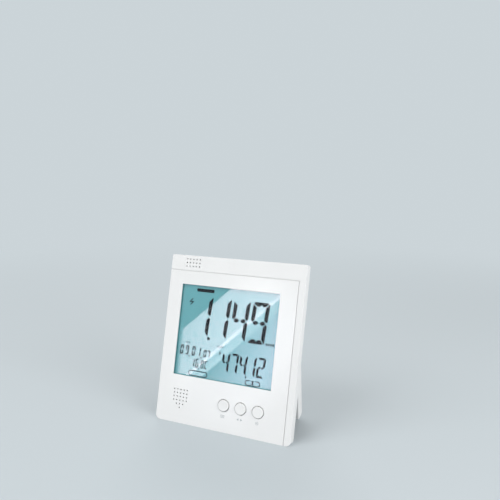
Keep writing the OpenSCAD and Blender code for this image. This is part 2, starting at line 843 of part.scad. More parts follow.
front_shell();
front_panel();
display_window();
lcd_polariser();
lcd_front_glass();
lcd_rear_glass();
lcd_reflector();
lcd_holder();
upper_contact_strip();
lower_contact_strip();
main_board();
controller_chip();
receiver_board();
receiver_crystal();
antenna_wire();
buzzer_case();
buzzer_disc();
temperature_sensor();
left_button();
middle_button();
right_button();
left_plunger();
middle_plunger();
right_plunger();
left_switch();
middle_switch();
right_switch();
rear_shell();
battery_door();
lower_cell();
middle_cell();
upper_cell();
battery_springs();
battery_plates();
stand();
case_screws();
board_screws();
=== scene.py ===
import json
import math

import bmesh
import bpy
from mathutils import Matrix, Vector


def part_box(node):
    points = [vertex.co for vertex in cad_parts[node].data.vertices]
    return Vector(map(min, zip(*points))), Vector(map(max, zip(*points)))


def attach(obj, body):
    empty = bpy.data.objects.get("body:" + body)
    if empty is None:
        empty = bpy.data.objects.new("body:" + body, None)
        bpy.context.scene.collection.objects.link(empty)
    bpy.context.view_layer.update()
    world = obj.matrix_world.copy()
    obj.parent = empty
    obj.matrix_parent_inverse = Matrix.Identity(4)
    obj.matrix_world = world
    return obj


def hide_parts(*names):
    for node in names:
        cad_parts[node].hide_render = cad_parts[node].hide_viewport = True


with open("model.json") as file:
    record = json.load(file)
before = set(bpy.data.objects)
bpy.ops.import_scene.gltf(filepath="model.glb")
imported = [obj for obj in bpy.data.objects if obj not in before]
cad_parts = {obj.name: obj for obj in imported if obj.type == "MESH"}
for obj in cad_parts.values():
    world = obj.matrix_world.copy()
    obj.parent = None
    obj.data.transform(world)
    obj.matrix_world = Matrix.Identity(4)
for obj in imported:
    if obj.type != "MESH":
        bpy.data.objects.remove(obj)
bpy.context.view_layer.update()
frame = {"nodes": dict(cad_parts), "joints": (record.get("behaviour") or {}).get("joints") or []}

# Front shell: the outer half of the case, injection moulded in white ABS with a fine satin texture. Its rim,
# top band and right strip frame the gloss panel. A web behind the panel carries the screw bosses, and the
# base is cut level so that the leaning case rests on it.
mm = 0.001
top_corner = 1.5 * mm
low_corner = 3.5 * mm
shell_edge = 0.5 * mm
shell_wall = 2 * mm
seam = 0.6 * mm
seam_depth = 0.5 * mm
rear_gap = 0.15 * mm
seat_play = 0.06 * mm
glass_play = 0.15 * mm
boss_wall = 1.3 * mm
bore_play = 0.06 * mm
hole_r = 0.55 * mm
hole_pitch = 2.75 * mm
hole_flare = 0.12 * mm
vent_inset = Vector((13.3 * mm, 0, -2.9 * mm))
vent_rows = [5, 5, 5]
speaker_inset = Vector((14 * mm, 0, 25.4 * mm))
speaker_rows = [5, 5, 5, 5, 3, 1]
button_well_r = 6 * mm
case_head_r = 2.1 * mm
case_shaft_r = 1.2 * mm
board_head_r = 1.9 * mm
board_shaft_r = 1.0 * mm
past = 1 * mm
hair = 0.002 * mm

joints = {joint["name"]: joint for joint in frame["joints"]}
press = Vector(joints["left_press"]["axis"])
lean = math.atan2(-press.z, press.y)
lean_back = Matrix.Translation((0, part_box("front_panel")[0].y, 0)) @ Matrix.Rotation(-lean, 4, "X")


def corners(points):
    """Lowest and highest corner of the box round some points."""
    low = Vector([min(p[i] for p in points) for i in range(3)])
    high = Vector([max(p[i] for p in points) for i in range(3)])
    return low, high


def upright(node, part=None):
    """Box of a CAD piece, or of a part of it, measured as if the case stood upright."""
    stand_up = lean_back.inverted()
    points = [stand_up @ v.co for v in frame["nodes"][node].data.vertices]
    return corners([p for p in points if part is None or part(p)])


def upright_each(node, reach):
    """Upright boxes of the separate solids of a CAD piece, each within a reach of its first point."""
    stand_up = lean_back.inverted()
    groups = []
    for vertex in frame["nodes"][node].data.vertices:
        point = stand_up @ vertex.co
        near = [g for g in groups if math.hypot(g[0].x - point.x, g[0].z - point.z) < reach]
        if near:
            near[0].append(point)
        else:
            groups.append([point])
    return [corners(g) for g in groups]


def on_face(low, high):
    """Middle of an upright box, brought forward to the front face."""
    return Vector(((low.x + high.x) / 2, 0, (low.z + high.z) / 2))


def choose(*pieces):
    """Selects only these pieces and makes the first one active."""
    bpy.ops.object.select_all(action="DESELECT")
    for piece in pieces:
        piece.select_set(True)
    bpy.context.view_layer.objects.active = pieces[0]


def edit_all():
    """Starts editing the active piece, with its whole mesh selected."""
    bpy.ops.object.mode_set(mode="EDIT")
    bpy.ops.mesh.select_all(action="SELECT")


def block(name, low, high):
    """A box between two corners."""
    low, high = Vector(low), Vector(high)
    bpy.ops.object.select_all(action="DESELECT")
    bpy.ops.mesh.primitive_cube_add(size=1, location=(low + high) / 2)
    piece = bpy.context.object
    piece.name = name
    piece.scale = high - low
    bpy.ops.object.transform_apply()
    return piece


into_case = (-math.pi / 2, 0, 0)


def turned(name, rings, sides, place, turn=into_case):
    """A piece turned on a lathe: each ring is a distance along its axis and a radius."""
    bpy.ops.object.select_all(action="DESELECT")
    start, radius = rings[0]
    bpy.ops.mesh.primitive_circle_add(vertices=sides, radius=radius, fill_type="NGON", location=(0, 0, start))
    piece = bpy.context.object
    piece.name = name
    bpy.ops.object.transform_apply()
    edit_all()
    for (last, before), (along, radius) in zip(rings, rings[1:]):
        bpy.ops.mesh.extrude_region_move(TRANSFORM_OT_translate={"value": (0, 0, along - last)})
        grow = radius / before
        bpy.ops.transform.resize(value=(grow, grow, 1), center_override=(0, 0, along))
    bpy.ops.mesh.select_all(action="SELECT")
    bpy.ops.mesh.normals_make_consistent(inside=False)
    bpy.ops.object.mode_set(mode="OBJECT")
    piece.location = place
    piece.rotation_euler = turn
    bpy.ops.object.transform_apply()
    return piece


def runs_deep(a, b):
    """True for an edge that runs straight into the case."""
    return abs(a.x - b.x) < hair and abs(a.z - b.z) < hair


def round_edges(piece, radius, steps, chosen):
    """Rounds the edges that a test on their two ends picks."""
    choose(piece)
    bpy.ops.object.mode_set(mode="EDIT")
    bpy.ops.mesh.select_mode(type="EDGE")
    bpy.ops.mesh.select_all(action="DESELECT")
    mesh = bmesh.from_edit_mesh(piece.data)
    for edge in mesh.edges:
        edge.select_set(bool(chosen(edge.verts[0].co, edge.verts[1].co)))
    bmesh.update_edit_mesh(piece.data)
    bpy.ops.mesh.bevel(offset=radius, segments=steps, affect="EDGES")
    bpy.ops.object.mode_set(mode="OBJECT")


def apply_last(piece):
    """Applies the modifier that was added last."""
    choose(piece)
    bpy.ops.object.modifier_apply(modifier=piece.modifiers[-1].name)


def merge_close(piece):
    """Merges points that a cut left within a hair of each other and fills what small gaps remain."""
    choose(piece)
    edit_all()
    bpy.ops.mesh.remove_doubles(threshold=hair)
    bpy.ops.mesh.fill_holes(sides=4)
    bpy.ops.object.mode_set(mode="OBJECT")


def combine(piece, other, how):
    """Cuts another solid out of a piece, or fuses it on, and takes the other one away."""
    change = piece.modifiers.new(how.lower(), "BOOLEAN")
    change.operation = how
    change.solver = "EXACT"
    change.object = other
    apply_last(piece)
    bpy.data.objects.remove(other)
    merge_close(piece)


def cut(piece, *others):
    """Cuts other solids out of a piece, one after another."""
    for other in others:
        combine(piece, other, "DIFFERENCE")


def fuse(piece, *others):
    """Fuses other solids onto a piece, one after another."""
    for other in others:
        combine(piece, other, "UNION")


def joined(pieces):
    """Makes separate bodies one object."""
    choose(*pieces)
    bpy.ops.object.join()
    return bpy.context.object


def cut_level(piece, height=0, slope=lean):
    """Cuts off what lies below a height, on a slope that is level once the case leans back."""
    choose(piece)
    up = Vector((0, -math.sin(slope), math.cos(slope)))
    edit_all()
    bpy.ops.mesh.bisect(plane_co=height * up, plane_no=up, use_fill=True, clear_inner=True)
    bpy.ops.object.mode_set(mode="OBJECT")


bevel_above = math.radians(40)


def soften(piece, width, steps=3):
    """Rounds every corner a little, as a mould does."""
    edges = piece.modifiers.new("soft_edges", "BEVEL")
    edges.width = width
    edges.segments = steps
    edges.limit_method = "ANGLE"
    edges.angle_limit = bevel_above
    apply_last(piece)


def holes(first, rows, radius, front, back):
    """Cutters for rows of small holes with a flared mouth, each row centred below the first."""
    mouth = [(front - hole_flare, radius + 2 * hole_flare), (front + hole_flare, radius)]
    made = []
    for row, count in enumerate(rows):
        for column in range(count):
            across = column + (rows[0] - count) / 2
            place = (first.x + across * hole_pitch, 0, first.z - row * hole_pitch)
            made.append(turned("hole", mouth + [(back, radius)], sides=12, place=place))
    return joined(made)


def lay_back(piece):
    """Leans an upright piece back into its place in the case."""
    choose(piece)
    piece.matrix_world = lean_back
    bpy.ops.object.transform_apply()


class Tone:
    """A value in a material's nodes: sums of values add Math nodes, and node adds any other node."""

    def __init__(self, tree, socket=None):
        self.tree = tree
        self.socket = socket

    def node(self, kind, settings=(), inputs=(), output=0):
        """Adds a node, sets it up, then gives its sockets values or links."""
        made = self.tree.nodes.new("ShaderNode" + kind)
        for name, value in dict(settings).items():
            setattr(made, name, value)
        for name, value in dict(inputs).items():
            if isinstance(value, Tone):
                self.tree.links.new(value.socket, made.inputs[name])
            else:
                made.inputs[name].default_value = value
        return Tone(self.tree, made.outputs[output] if made.outputs else None)

    def sum(self, operation, first, second=0.0):
        """A value worked out from one or two values by a Math node."""
        return self.node("Math", {"operation": operation}, {0: first, 1: second})

    def mix(self, share, first, second):
        """A colour between two colours."""
        return self.node("Mix", {"data_type": "RGBA"}, {0: share, 6: first, 7: second}, 2)

    def __add__(self, other):
        return self.sum("ADD", self, other)

    def __radd__(self, other):
        return self.sum("ADD", other, self)

    def __sub__(self, other):
        return self.sum("SUBTRACT", self, other)

    def __rsub__(self, other):
        return self.sum("SUBTRACT", other, self)

    def __mul__(self, other):
        return self.sum("MULTIPLY", self, other)

    def __rmul__(self, other):
        return self.sum("MULTIPLY", other, self)

    def __pow__(self, other):
        return self.sum("POWER", self, other)


def new_material(name):
    """An empty material, the Tone that adds its nodes, and the place on the piece that its patterns read."""
    material = bpy.data.materials.new(name)
    material.use_nodes = True
    material.node_tree.nodes.clear()
    tone = Tone(material.node_tree)
    return material, tone, tone.node("TexCoord", output="Object")


def show(tone, inputs):
    """Ends a material in one Principled surface."""
    surface = tone.node("BsdfPrincipled", {}, inputs)
    tone.node("OutputMaterial", {}, {"Surface": surface})


def moulded(name, colour, patch, roughness, grain, depth, shine=0.5):
    """Moulded plastic: faintly cloudy colour, uneven gloss and the mould's fine texture as bump."""
    cloud_gloss, speck_gloss = 0.12, 0.06
    material, tone, place = new_material(name)
    cloud = tone.node("TexNoise", {}, {"Vector": place, "Scale": 70, "Detail": 5})
    speck = tone.node("TexNoise", {}, {"Vector": place, "Scale": 1 / grain, "Detail": 3})
    bump = tone.node("Bump", {}, {"Strength": 0.6, "Distance": depth, "Height": speck})
    show(tone, {
        "Base Color": tone.mix(cloud, (*colour, 1), (*patch, 1)),
        "Roughness": roughness + cloud_gloss * (cloud - 0.5) + speck_gloss * (speck - 0.5),
        "Specular IOR Level": shine,
        "Normal": bump,
    })
    return material


smooth_below = math.radians(35)


def dress(piece, material):
    """Smooths a new piece's shading, keeps its flat faces flat and gives it a material."""
    choose(piece)
    bpy.ops.object.shade_smooth_by_angle(angle=smooth_below)
    piece.modifiers.new("flat_faces", "WEIGHTED_NORMAL").keep_sharp = True
    apply_last(piece)
    piece.data.materials.clear()
    piece.data.materials.append(material)


satin_white = moulded("satin_white", (0.84, 0.84, 0.835), (0.81, 0.81, 0.808),
                      roughness=0.42, grain=0.22 * mm, depth=0.012 * mm)
shell_low, shell_high = upright("front_shell")
panel_low, panel_high = upright("front_panel")
glass_low, glass_high = upright("lcd_front_glass")
board_low, board_high = upright("main_board")
floor_z = upright("rear_shell")[0].z - rear_gap
near_base = floor_z / 4
web_back = glass_high.y

shell = block("front_shell_moulding", shell_low, shell_high)
round_edges(shell, top_corner, steps=6, chosen=lambda a, b: runs_deep(a, b) and a.z > panel_high.z)
round_edges(shell, low_corner, steps=8, chosen=lambda a, b: runs_deep(a, b) and a.z < near_base)
cut(shell, block("panel_seat", (shell_low.x - past, -past, -past),
                 (panel_high.x + seat_play, panel_high.y, panel_high.z + seat_play)))
cut(shell, block("cavity", (shell_low.x + shell_wall, web_back, floor_z),
                 (shell_high.x - shell_wall, shell_high.y + past, shell_high.z - shell_wall)))
cut(shell, block("glass_opening", (glass_low.x - glass_play, 0, glass_low.z - glass_play),
                 (glass_high.x + glass_play, web_back + past, glass_high.z + glass_play)))
cut_level(shell)
soften(shell, shell_edge)
cut(shell, block("seam", (shell_low.x - past, -past, -past),
                 (panel_high.x + seam, seam_depth, panel_high.z + seam)))

bosses = []
bores = []
for node, head_r, shaft_r, boss_end in (("case_screws", case_head_r, case_shaft_r, board_high.y),
                                        ("board_screws", board_head_r, board_shaft_r, board_low.y)):
    for low, high in upright_each(node, reach=3 * head_r):
        middle = on_face(low, high)
        boss_rings = [(panel_high.y + seam, shaft_r + boss_wall), (boss_end, shaft_r + boss_wall)]
        bosses.append(turned("boss", boss_rings, sides=32, place=middle))
        bore_rings = [(web_back, shaft_r + bore_play), (boss_end + past, shaft_r + bore_play)]
        bores.append(turned("bore", bore_rings, sides=24, place=middle))
fuse(shell, joined(bosses))
button_nodes = ["left_button", "middle_button", "right_button"]
button_places = [on_face(*upright(node)) for node in button_nodes]
well_rings = [(panel_high.y - past, button_well_r), (web_back + past, button_well_r)]
wells = joined([turned("well", well_rings, sides=48, place=place) for place in button_places])
vent_first = Vector((shell_low.x, 0, shell_high.z)) + vent_inset
speaker_first = Vector((shell_low.x, 0, 0)) + speaker_inset
cut(shell, joined(bores), wells,
    holes(vent_first, vent_rows, hole_r, 0, web_back + past),
    holes(speaker_first, speaker_rows, hole_r, panel_high.y, web_back + past))
lay_back(shell)
dress(shell, satin_white)
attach(shell, "case")
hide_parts("front_shell")

# Front panel: a separate gloss white plate, moulded in ABS and polished in the mould, seated in the shell's
# L-shaped step so that a fine seam shows above it and to its right. It has the display opening, the three
# button holes and the lower group of sound holes.
panel_edge = 0.3 * mm
window_lap = 1.44 * mm
window_play = 0.06 * mm
ring_r = 4.7 * mm
ring_flare = 0.1 * mm
gloss_white = moulded("gloss_white", (0.85, 0.85, 0.846), (0.83, 0.83, 0.83),
                      roughness=0.14, grain=1.4 * mm, depth=0.002 * mm)
window_low, window_high = upright("display_window")
view_low = window_low + Vector((window_lap, 0, window_lap))
view_high = window_high - Vector((window_lap, 0, window_lap))

panel = block("front_panel_plate", panel_low, panel_high)
round_edges(panel, low_corner, steps=8, chosen=lambda a, b: runs_deep(a, b) and a.z < near_base and a.x < 0)
cut(panel, block("display_opening", (view_low.x, -past, view_low.z),
                 (view_high.x, past + panel_high.y, view_high.z)))
cut(panel, block("window_rebate", (window_low.x - window_play, window_low.y, window_low.z - window_play),
                 (window_high.x + window_play, panel_high.y + past, window_high.z + window_play)))
cut_level(panel)
soften(panel, panel_edge)
ring_rings = [(-ring_flare, ring_r + 2 * ring_flare), (ring_flare, ring_r), (panel_high.y + past, ring_r)]
cut(panel, joined([turned("button_hole", ring_rings, sides=64, place=place) for place in button_places]),
    holes(speaker_first, speaker_rows, hole_r, 0, panel_high.y + past))
lay_back(panel)
dress(panel, gloss_white)
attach(panel, "case")
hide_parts("front_panel")

# Symbols printed under the buttons: thin pale grey pad print on the panel, three plain signs for the
# menu, for a step either way and for the choice.
print_t = 0.02 * mm
sign_drop = 8 * mm
sign_line = 0.34 * mm
menu_half = 1.7 * mm
menu_pitch = 0.8 * mm
arrow_foot = 0.7 * mm
arrow_tip = 2.2 * mm
arrow_half = 0.95 * mm
choice_r = 1.2 * mm
dot_r = 0.4 * mm
circle_steps = 24
same_point = 0.0001 * mm


def meshed(name, curve):
    """Makes a drawn curve a piece with a mesh."""
    piece = bpy.data.objects.new(name, curve)
    bpy.context.scene.collection.objects.link(piece)
    choose(piece)
    bpy.ops.object.convert(target="MESH")
    return bpy.context.object


def flat_piece(name, outlines, thickness, depth):
    """A piece of even thickness from outlines on the face, x across and y up, with its back at a depth."""
    drawing = bpy.data.curves.new(name, "CURVE")
    drawing.dimensions = "2D"
    drawing.fill_mode = "BOTH"
    drawing.extrude = thickness / 2
    for outline in outlines:
        spline = drawing.splines.new("POLY")
        spline.points.add(len(outline) - 1)
        for point, (x, y) in zip(spline.points, outline):
            point.co = (x, y, 0, 1)
        spline.use_cyclic_u = True
    piece = meshed(name, drawing)
    edit_all()
    bpy.ops.mesh.remove_doubles(threshold=same_point)
    bpy.ops.mesh.normals_make_consistent(inside=False)
    bpy.ops.object.mode_set(mode="OBJECT")
    piece.location = (0, depth - thickness / 2, 0)
    piece.rotation_euler = (math.pi / 2, 0, 0)
    bpy.ops.object.transform_apply()
    return piece


def oblong(x0, x1, y0, y1):
    """A plain rectangle."""
    return [(x0, y0), (x1, y0), (x1, y1), (x0, y1)]


grey_print = moulded("grey_print", (0.42, 0.45, 0.47), (0.46, 0.49, 0.5),
                     roughness=0.55, grain=0.1 * mm, depth=0.002 * mm)
signs = []
menu, shift, choice = [Vector((p.x, p.z - sign_drop)) for p in button_places]
for line in (-1, 0, 1):
    middle = menu.y + menu_pitch * line
    signs.append(oblong(menu.x - menu_half, menu.x + menu_half,
                        middle - sign_line / 2, middle + sign_line / 2))
for way in (-1, 1):
    tip = shift.x + way * arrow_tip
    foot = shift.x + way * arrow_foot
    signs.append([(foot, shift.y - arrow_half), (tip, shift.y), (foot, shift.y + arrow_half)])
angles = [math.tau * i / circle_steps for i in range(circle_steps)]
circle = [(math.cos(angle), math.sin(angle)) for angle in angles]
for size in (choice_r, choice_r - sign_line, dot_r):
    signs.append([(choice.x + size * x, choice.y + size * y) for x, y in circle])
printed = flat_piece("button_signs", signs, 2 * print_t, print_t)
lay_back(printed)
dress(printed, grey_print)
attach(printed, "case")

# Display window: a clear acrylic sheet, diamond cut at its edges and bonded in the rebate behind the panel's
# opening. Its two polished faces mirror a little of the room.
clear_edge = 0.15 * mm


def clear_sheet(name, head_on, haze):
    """Clear sheet: light goes straight through, and the mirror share grows towards grazing views."""
    material, tone, place = new_material(name)
    wipe = tone.node("TexNoise", {}, {"Vector": place, "Scale": 45, "Detail": 4})
    facing = tone.node("LayerWeight", {}, {"Blend": 0.5}, "Facing")
    through = tone.node("BsdfTransparent", {}, {"Color": (0.98, 0.995, 0.995, 1)})
    mirror = tone.node("BsdfGlossy", {}, {"Color": (1, 1, 1, 1), "Roughness": haze + 0.03 * wipe})
    share = head_on + (1 - head_on) * facing ** 5
    surface = tone.node("MixShader", {}, {0: share, 1: through, 2: mirror})
    tone.node("OutputMaterial", {}, {"Surface": surface})
    return material


window = block("display_window_sheet", window_low, window_high)
soften(window, clear_edge, steps=2)
lay_back(window)
dress(window, clear_sheet("clear_acrylic", head_on=0.006, haze=0.005))
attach(window, "case")
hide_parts("display_window")

# The display: two thin glasses with liquid crystal between them, a polariser film in front and a reflector
# foil behind. The film gives the blue-green ground colour.
film_colour = (0.108, 0.392, 0.43, 1)
film_patch = (0.122, 0.422, 0.46, 1)
film_material, tone, place = new_material("polariser_film")
cloud = tone.node("TexNoise", {}, {"Vector": place, "Scale": 30, "Detail": 3})
speck = tone.node("TexNoise", {}, {"Vector": place, "Scale": 6000, "Detail": 1})
show(tone, {
    "Base Color": tone.mix(cloud, film_colour, film_patch),
    "Roughness": 0.012 + 0.016 * speck,
    "IOR": 1.7,
    "Specular IOR Level": 1.0,
    "Specular Tint": (0.97, 0.8, 0.88, 1),
})


def finish(node, material):
    """Gives a CAD piece that keeps its own shape a material."""
    mesh = frame["nodes"][node].data
    mesh.materials.clear()
    mesh.materials.append(material)


def clear_glass(name, tint):
    """Thin polished glass with a faint waviness."""
    material, tone, place = new_material(name)
    wave = tone.node("TexNoise", {}, {"Vector": place, "Scale": 120, "Detail": 2})
    show(tone, {
        "Base Color": tone.mix(wave, (*tint, 1), (0.9, 0.96, 0.96, 1)),
        "Roughness": 0.02 + 0.02 * wave,
        "IOR": 1.52,
        "Transmission Weight": 1.0,
    })
    return material


def metal(name, colour, dark, roughness, grain):
    """Bare metal drawn along the case's width, so that fine lines run across it."""
    material, tone, place = new_material(name)
    stretched = tone.node("Mapping", {}, {"Vector": place, "Scale": (0.06, 1, 1)})
    lines = tone.node("TexNoise", {}, {"Vector": stretched, "Scale": 1 / grain, "Detail": 4})
    bump = tone.node("Bump", {}, {"Strength": 0.3, "Distance": 0.01 * mm, "Height": lines})
    show(tone, {
        "Base Color": tone.mix(lines, (*dark, 1), (*colour, 1)),
        "Metallic": 1.0,
        "Roughness": roughness + 0.2 * (lines - 0.5),
        "Normal": bump,
    })
    return material


finish("lcd_polariser", film_material)
finish("lcd_front_glass", clear_glass("front_glass", (0.8, 0.92, 0.92)))
finish("lcd_rear_glass", clear_glass("rear_glass", (0.78, 0.9, 0.9)))
finish("lcd_reflector", metal("reflector_foil", (0.82, 0.84, 0.84), (0.66, 0.69, 0.7),
                              roughness=0.32, grain=0.3 * mm))

# Display segments: the dark areas that the liquid crystal switches on, drawn as thin plates on the film. The
# digits lean a little, have mitred bars, notched caps and a middle bar made of two lozenges.
ink_t = 0.04 * mm
ink_gap = 0.01 * mm
slant = 0.07
point_least = 0.6
label_gap = 0.8
marks_shift = (-0.9 * mm, 0, -0.4 * mm)
lit_bars = {"0": "abcdef", "1": "bc", "2": "abdeg", "4": "bcfg", "6": "acdefg", "7": "abc", "8": "abcdefg",
            "9": "abcdfg", "C": "adef"}


def digit_bars(w, h, t, notch):
    """Outlines of a digit's bars, named round from the top as a to f, with g in the middle."""
    mid = h / 2
    right = [(w - t, mid + 0.85 * t), (w - 0.45 * t, mid + 0.22 * t), (w, mid + 0.5 * t),
             (w, h - 0.4 * t), (w - 0.15 * t, h - 0.2 * t), (w - t, h - 1.3 * t)]
    left = [(t, mid + 0.85 * t), (0.45 * t, mid + 0.22 * t), (0, mid + 0.5 * t),
            (0, h - 0.62 * t), (0.05 * t, h - 0.55 * t), (t, h - 1.35 * t)]
    cap = [(0.45 * t, h), (w - 0.55 * t, h), (w - 0.45 * t, h - 0.22 * t), (w - 1.05 * t, h - 1.06 * t),
           (0.6 * w, h - 1.06 * t), (0.5 * w, h - (1.06 - notch) * t), (0.4 * w, h - 1.06 * t),
           (t, h - 1.06 * t), (0.15 * t, h - 0.3 * t)]
    inner = 0.536 * w
    reach = w - 0.5 * t - inner
    rise = 0.5 * t
    lozenge = [(0, 0), (0.3, -1), (0.7, -1), (1, 0), (0.7, 1), (0.3, 1)]
    middle = [(inner + x * reach, mid + y * rise) for x, y in lozenge]
    foot, low_right, low_left = [[(x, h - y) for x, y in bar] for bar in (cap, right, left)]
    return {
        "a": [cap], "b": [right], "c": [low_right], "d": [foot], "e": [low_left], "f": [left],
        "g": [middle, [(w - x, y) for x, y in middle]],
    }


def stroke(path, width):
    """Outline of a line of even width along a path."""
    left, right = [], []
    for i, point in enumerate(path):
        before, after = path[max(i - 1, 0)], path[min(i + 1, len(path) - 1)]
        along = (Vector(after) - Vector(before)).normalized()
        side = Vector((-along.y, along.x)) * width / 2
        left.append(tuple(Vector(point) + side))
        right.append(tuple(Vector(point) - side))
    return left + right[::-1]


def arc(x, y, r, start, end, steps=10):
    """Points on an arc, with angles in degrees."""
    angles = [math.radians(start + (end - start) * i / steps) for i in range(steps + 1)]
    return [(x + r * math.cos(a), y + r * math.sin(a)) for a in angles]


def reading(text, left, low, w, h, t, pitch, points=(), notch=0):
    """A row of digits, with a round point after some of them."""
    bars = digit_bars(w, h, t, notch)
    outlines = []
    for place, sign in enumerate(text):
        start = left + place * pitch
        for name in lit_bars[sign]:
            for bar in bars[name]:
                outlines.append([(start + x + slant * y, low + y) for x, y in bar])
        if place in points:
            middle = (start + w + 0.55 * (pitch - w), low - 0.2 * t - point_least)
            outlines.append(arc(*middle, max(0.41 * t, point_least), 0, 345, steps=23))
    return outlines


def bolt(left, low, size):
    """A thin lightning bolt."""
    shape = [(0.56, 1.02), (0.06, 0.4), (0.6, 0.46), (0.22, 0.03),
             (0.36, 0), (0.92, 0.62), (0.36, 0.56), (0.72, 1)]
    return [(left + size * x, low + size * y) for x, y in shape]


def pill(x0, x1, y0, y1, r):
    """A rectangle with round corners."""
    return (arc(x0 + r, y1 - r, r, 90, 180, 5) + arc(x0 + r, y0 + r, r, 180, 270, 5)
            + arc(x1 - r, y0 + r, r, -90, 0, 5) + arc(x1 - r, y1 - r, r, 0, 90, 5))


# All marks are in millimetres from the lower left corner of the display: a reading has its left and low edge,
# then its digits' width, height, bar width and pitch.
marks = []
marks += reading("1149", 12.6, 31.9, 13.2, 30.7, 3.0, 15.4, points=[0], notch=0.5)
marks += reading("47412", 39.5, 7.6, 6.1, 14.9, 1.7, 7.1, points=[2], notch=0.45)
for pair, left in (("09", 3.6), ("01", 13.9)):
    marks += reading(pair, left, 16.2, 2.8, 7.2, 0.95, 4.7, points=[1])
marks += reading("07", 23.9, 16.3, 2.4, 5.6, 0.8, 3.1)
marks += reading("16", 14.1, 7.5, 2.8, 6.8, 0.8, 3.75, points=[1])
marks += reading("8C", 22.4, 7.4, 2.5, 6.3, 0.75, 3.3)
marks.append(pill(13.2, 27.9, 65.6, 68.1, 0.6))
marks.append(bolt(7.0, 54.7, 5.2))
marks.append(bolt(36.4, 19.7, 3.0))
marks += [pill(13.0, 29.1, 0.9, 5.2, 2.0), pill(13.65, 28.45, 1.55, 4.55, 1.35)]
link = [(63.9, 4.6)] + arc(62.1, 2.9, 1.7, 90, 270) + arc(70.2, 2.9, 1.7, -90, 90) + [(68.4, 4.6)]
marks.append(stroke(link, width=0.65))
marks.append([(65.0, 4.7), (65.8, 3.2), (65.2, 1.95), (67.1, 1.95), (66.5, 3.2), (67.3, 4.7)])
labels = [(8.2, 25.2, 0.5, 1.3, 3), (35.1, 25.2, 0.55, 1.4, 4), (73.4, 31.6, 1.0, 2.0, 4)]
for first, low, width, height, count in labels:
    for place in range(count):
        start = first + (width + label_gap) * place
        marks.append(oblong(start, start + width, low, low + height))
film_front = upright("lcd_polariser")[0].y
corner = view_low + Vector(marks_shift)
outlines = [[(corner.x + x * mm, corner.z + y * mm) for x, y in outline] for outline in marks]
segments = flat_piece("display_segments", outlines, ink_t, film_front - ink_gap)
lay_back(segments)
dress(segments, moulded("segment_ink", (0.012, 0.016, 0.02), (0.02, 0.026, 0.032),
                        roughness=0.5, grain=0.3 * mm, depth=0.001 * mm, shine=0.1))
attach(segments, "case")

# Display holder and contact strips: a plain moulded frame presses the glasses to the web, and two striped
# silicone strips carry the current from the board to the glass.
strip_pitch = 0.5 * mm
finish("lcd_holder", moulded("holder_plastic", (0.7, 0.71, 0.7), (0.64, 0.65, 0.64),
                             roughness=0.55, grain=0.3 * mm, depth=0.02 * mm))
strip_material, tone, place = new_material("striped_silicone")
across = tone.node("SeparateXYZ", {}, {"Vector": place}, "X")
stripe = tone.sum("SINE", across * (math.tau / strip_pitch))
dust = tone.node("TexNoise", {}, {"Vector": place, "Scale": 900, "Detail": 2})
show(tone, {
    "Base Color": tone.mix(0.5 + 0.5 * stripe, (0.02, 0.02, 0.02, 1), (0.55, 0.5, 0.47, 1)),
    "Roughness": 0.6 + 0.2 * dust,
})
finish("upper_contact_strip", strip_material)
finish("lower_contact_strip", strip_material)

# Main board with its resin blob and the receiver: glass-epoxy boards under green solder resist, with copper
# tracks that stand out a little. The receiver stands on edge beside the battery bay, with a crystal can and
# a red antenna wire.
track_size = 2.4 * mm
track_share = 0.07


def circuit_board(name, ground, track):
    """Solder resist over a net of copper tracks."""
    material, tone, place = new_material(name)
    net = tone.node("TexVoronoi", {"feature": "DISTANCE_TO_EDGE", "distance": "EUCLIDEAN"},
                    {"Vector": place, "Scale": 1 / track_size, "Randomness": 0.55})
    line = tone.sum("LESS_THAN", net, track_share)
    weave = tone.node("TexNoise", {}, {"Vector": place, "Scale": 2500, "Detail": 2})
    bump = tone.node("Bump", {}, {"Strength": 0.5, "Distance": 0.03 * mm, "Height": line + 0.2 * weave})
    show(tone, {
        "Base Color": tone.mix(line * 0.8 + 0.2 * weave, (*ground, 1), (*track, 1)),
        "Roughness": 0.3 + 0.15 * weave,
        "Coat Weight": 0.3,
        "Normal": bump,
    })
    return material


black_resin = moulded("black_resin", (0.018, 0.018, 0.02), (0.03, 0.03, 0.03),
                      roughness=0.35, grain=0.25 * mm, depth=0.01 * mm)
zinc = metal("zinc_plate", (0.72, 0.73, 0.74), (0.5, 0.51, 0.53), roughness=0.3, grain=0.15 * mm)
finish("main_board", circuit_board("main_board_resist", (0.012, 0.12, 0.045), (0.05, 0.3, 0.1)))
finish("receiver_board", circuit_board("receiver_resist", (0.01, 0.09, 0.06), (0.05, 0.24, 0.14)))
finish("controller_chip", black_resin)
finish("receiver_crystal", zinc)
finish("antenna_wire", moulded("red_insulation", (0.5, 0.03, 0.02), (0.42, 0.02, 0.02),
                               roughness=0.35, grain=0.4 * mm, depth=0.01 * mm))
finish("board_screws", zinc)

# Sounder and temperature sensor: a black case with a brass disc behind the lower holes, and a bead of epoxy
# behind the upper ones.
finish("buzzer_case", black_resin)
finish("buzzer_disc", metal("brass_sheet", (0.78, 0.6, 0.26), (0.6, 0.43, 0.16),
                            roughness=0.28, grain=0.2 * mm))
finish("temperature_sensor", black_resin)

# Push buttons: three satin white ABS caps with a shallow dish for the fingertip, a rounded rim, a flange that
# keeps each cap behind the panel and a stem that presses the switch. Switches and plungers are black nylon.
cap_r = 4.25 * mm
flange_r = 5.3 * mm
stem_r = 1.6 * mm
flange_front = 2.3 * mm
flange_back = 3.1 * mm
button_white = moulded("button_white", (0.85, 0.85, 0.845), (0.82, 0.82, 0.818),
                       roughness=0.36, grain=0.2 * mm, depth=0.006 * mm)
